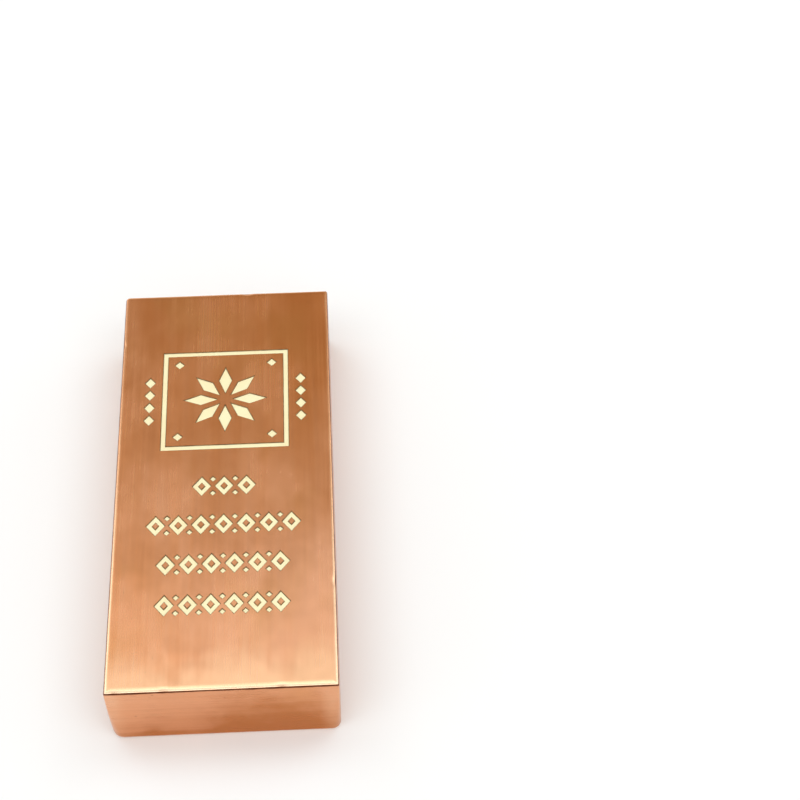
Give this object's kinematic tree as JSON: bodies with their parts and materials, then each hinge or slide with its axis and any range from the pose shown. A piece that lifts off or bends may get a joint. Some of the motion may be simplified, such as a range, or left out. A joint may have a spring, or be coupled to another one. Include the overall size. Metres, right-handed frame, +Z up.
{
  "type": "copper ingot",
  "caption": "Solid rectangular copper bar with rounded edges, brushed faces and a shallow engraved frame, rosette and rows of lozenges on its top face.",
  "frame": {"origin": "middle of the underside, on the surface that the bar lies on", "axes": "+Y along the length, towards the end with the engraved frame; +X across the width; +Z up, out of the engraved face"},
  "size_m": [0.0508, 0.116, 0.0191],
  "materials": {
    "copper": "brushed"
  },
  "bodies": {
    "root": {"ingot": "copper"}
  },
  "joints": []
}
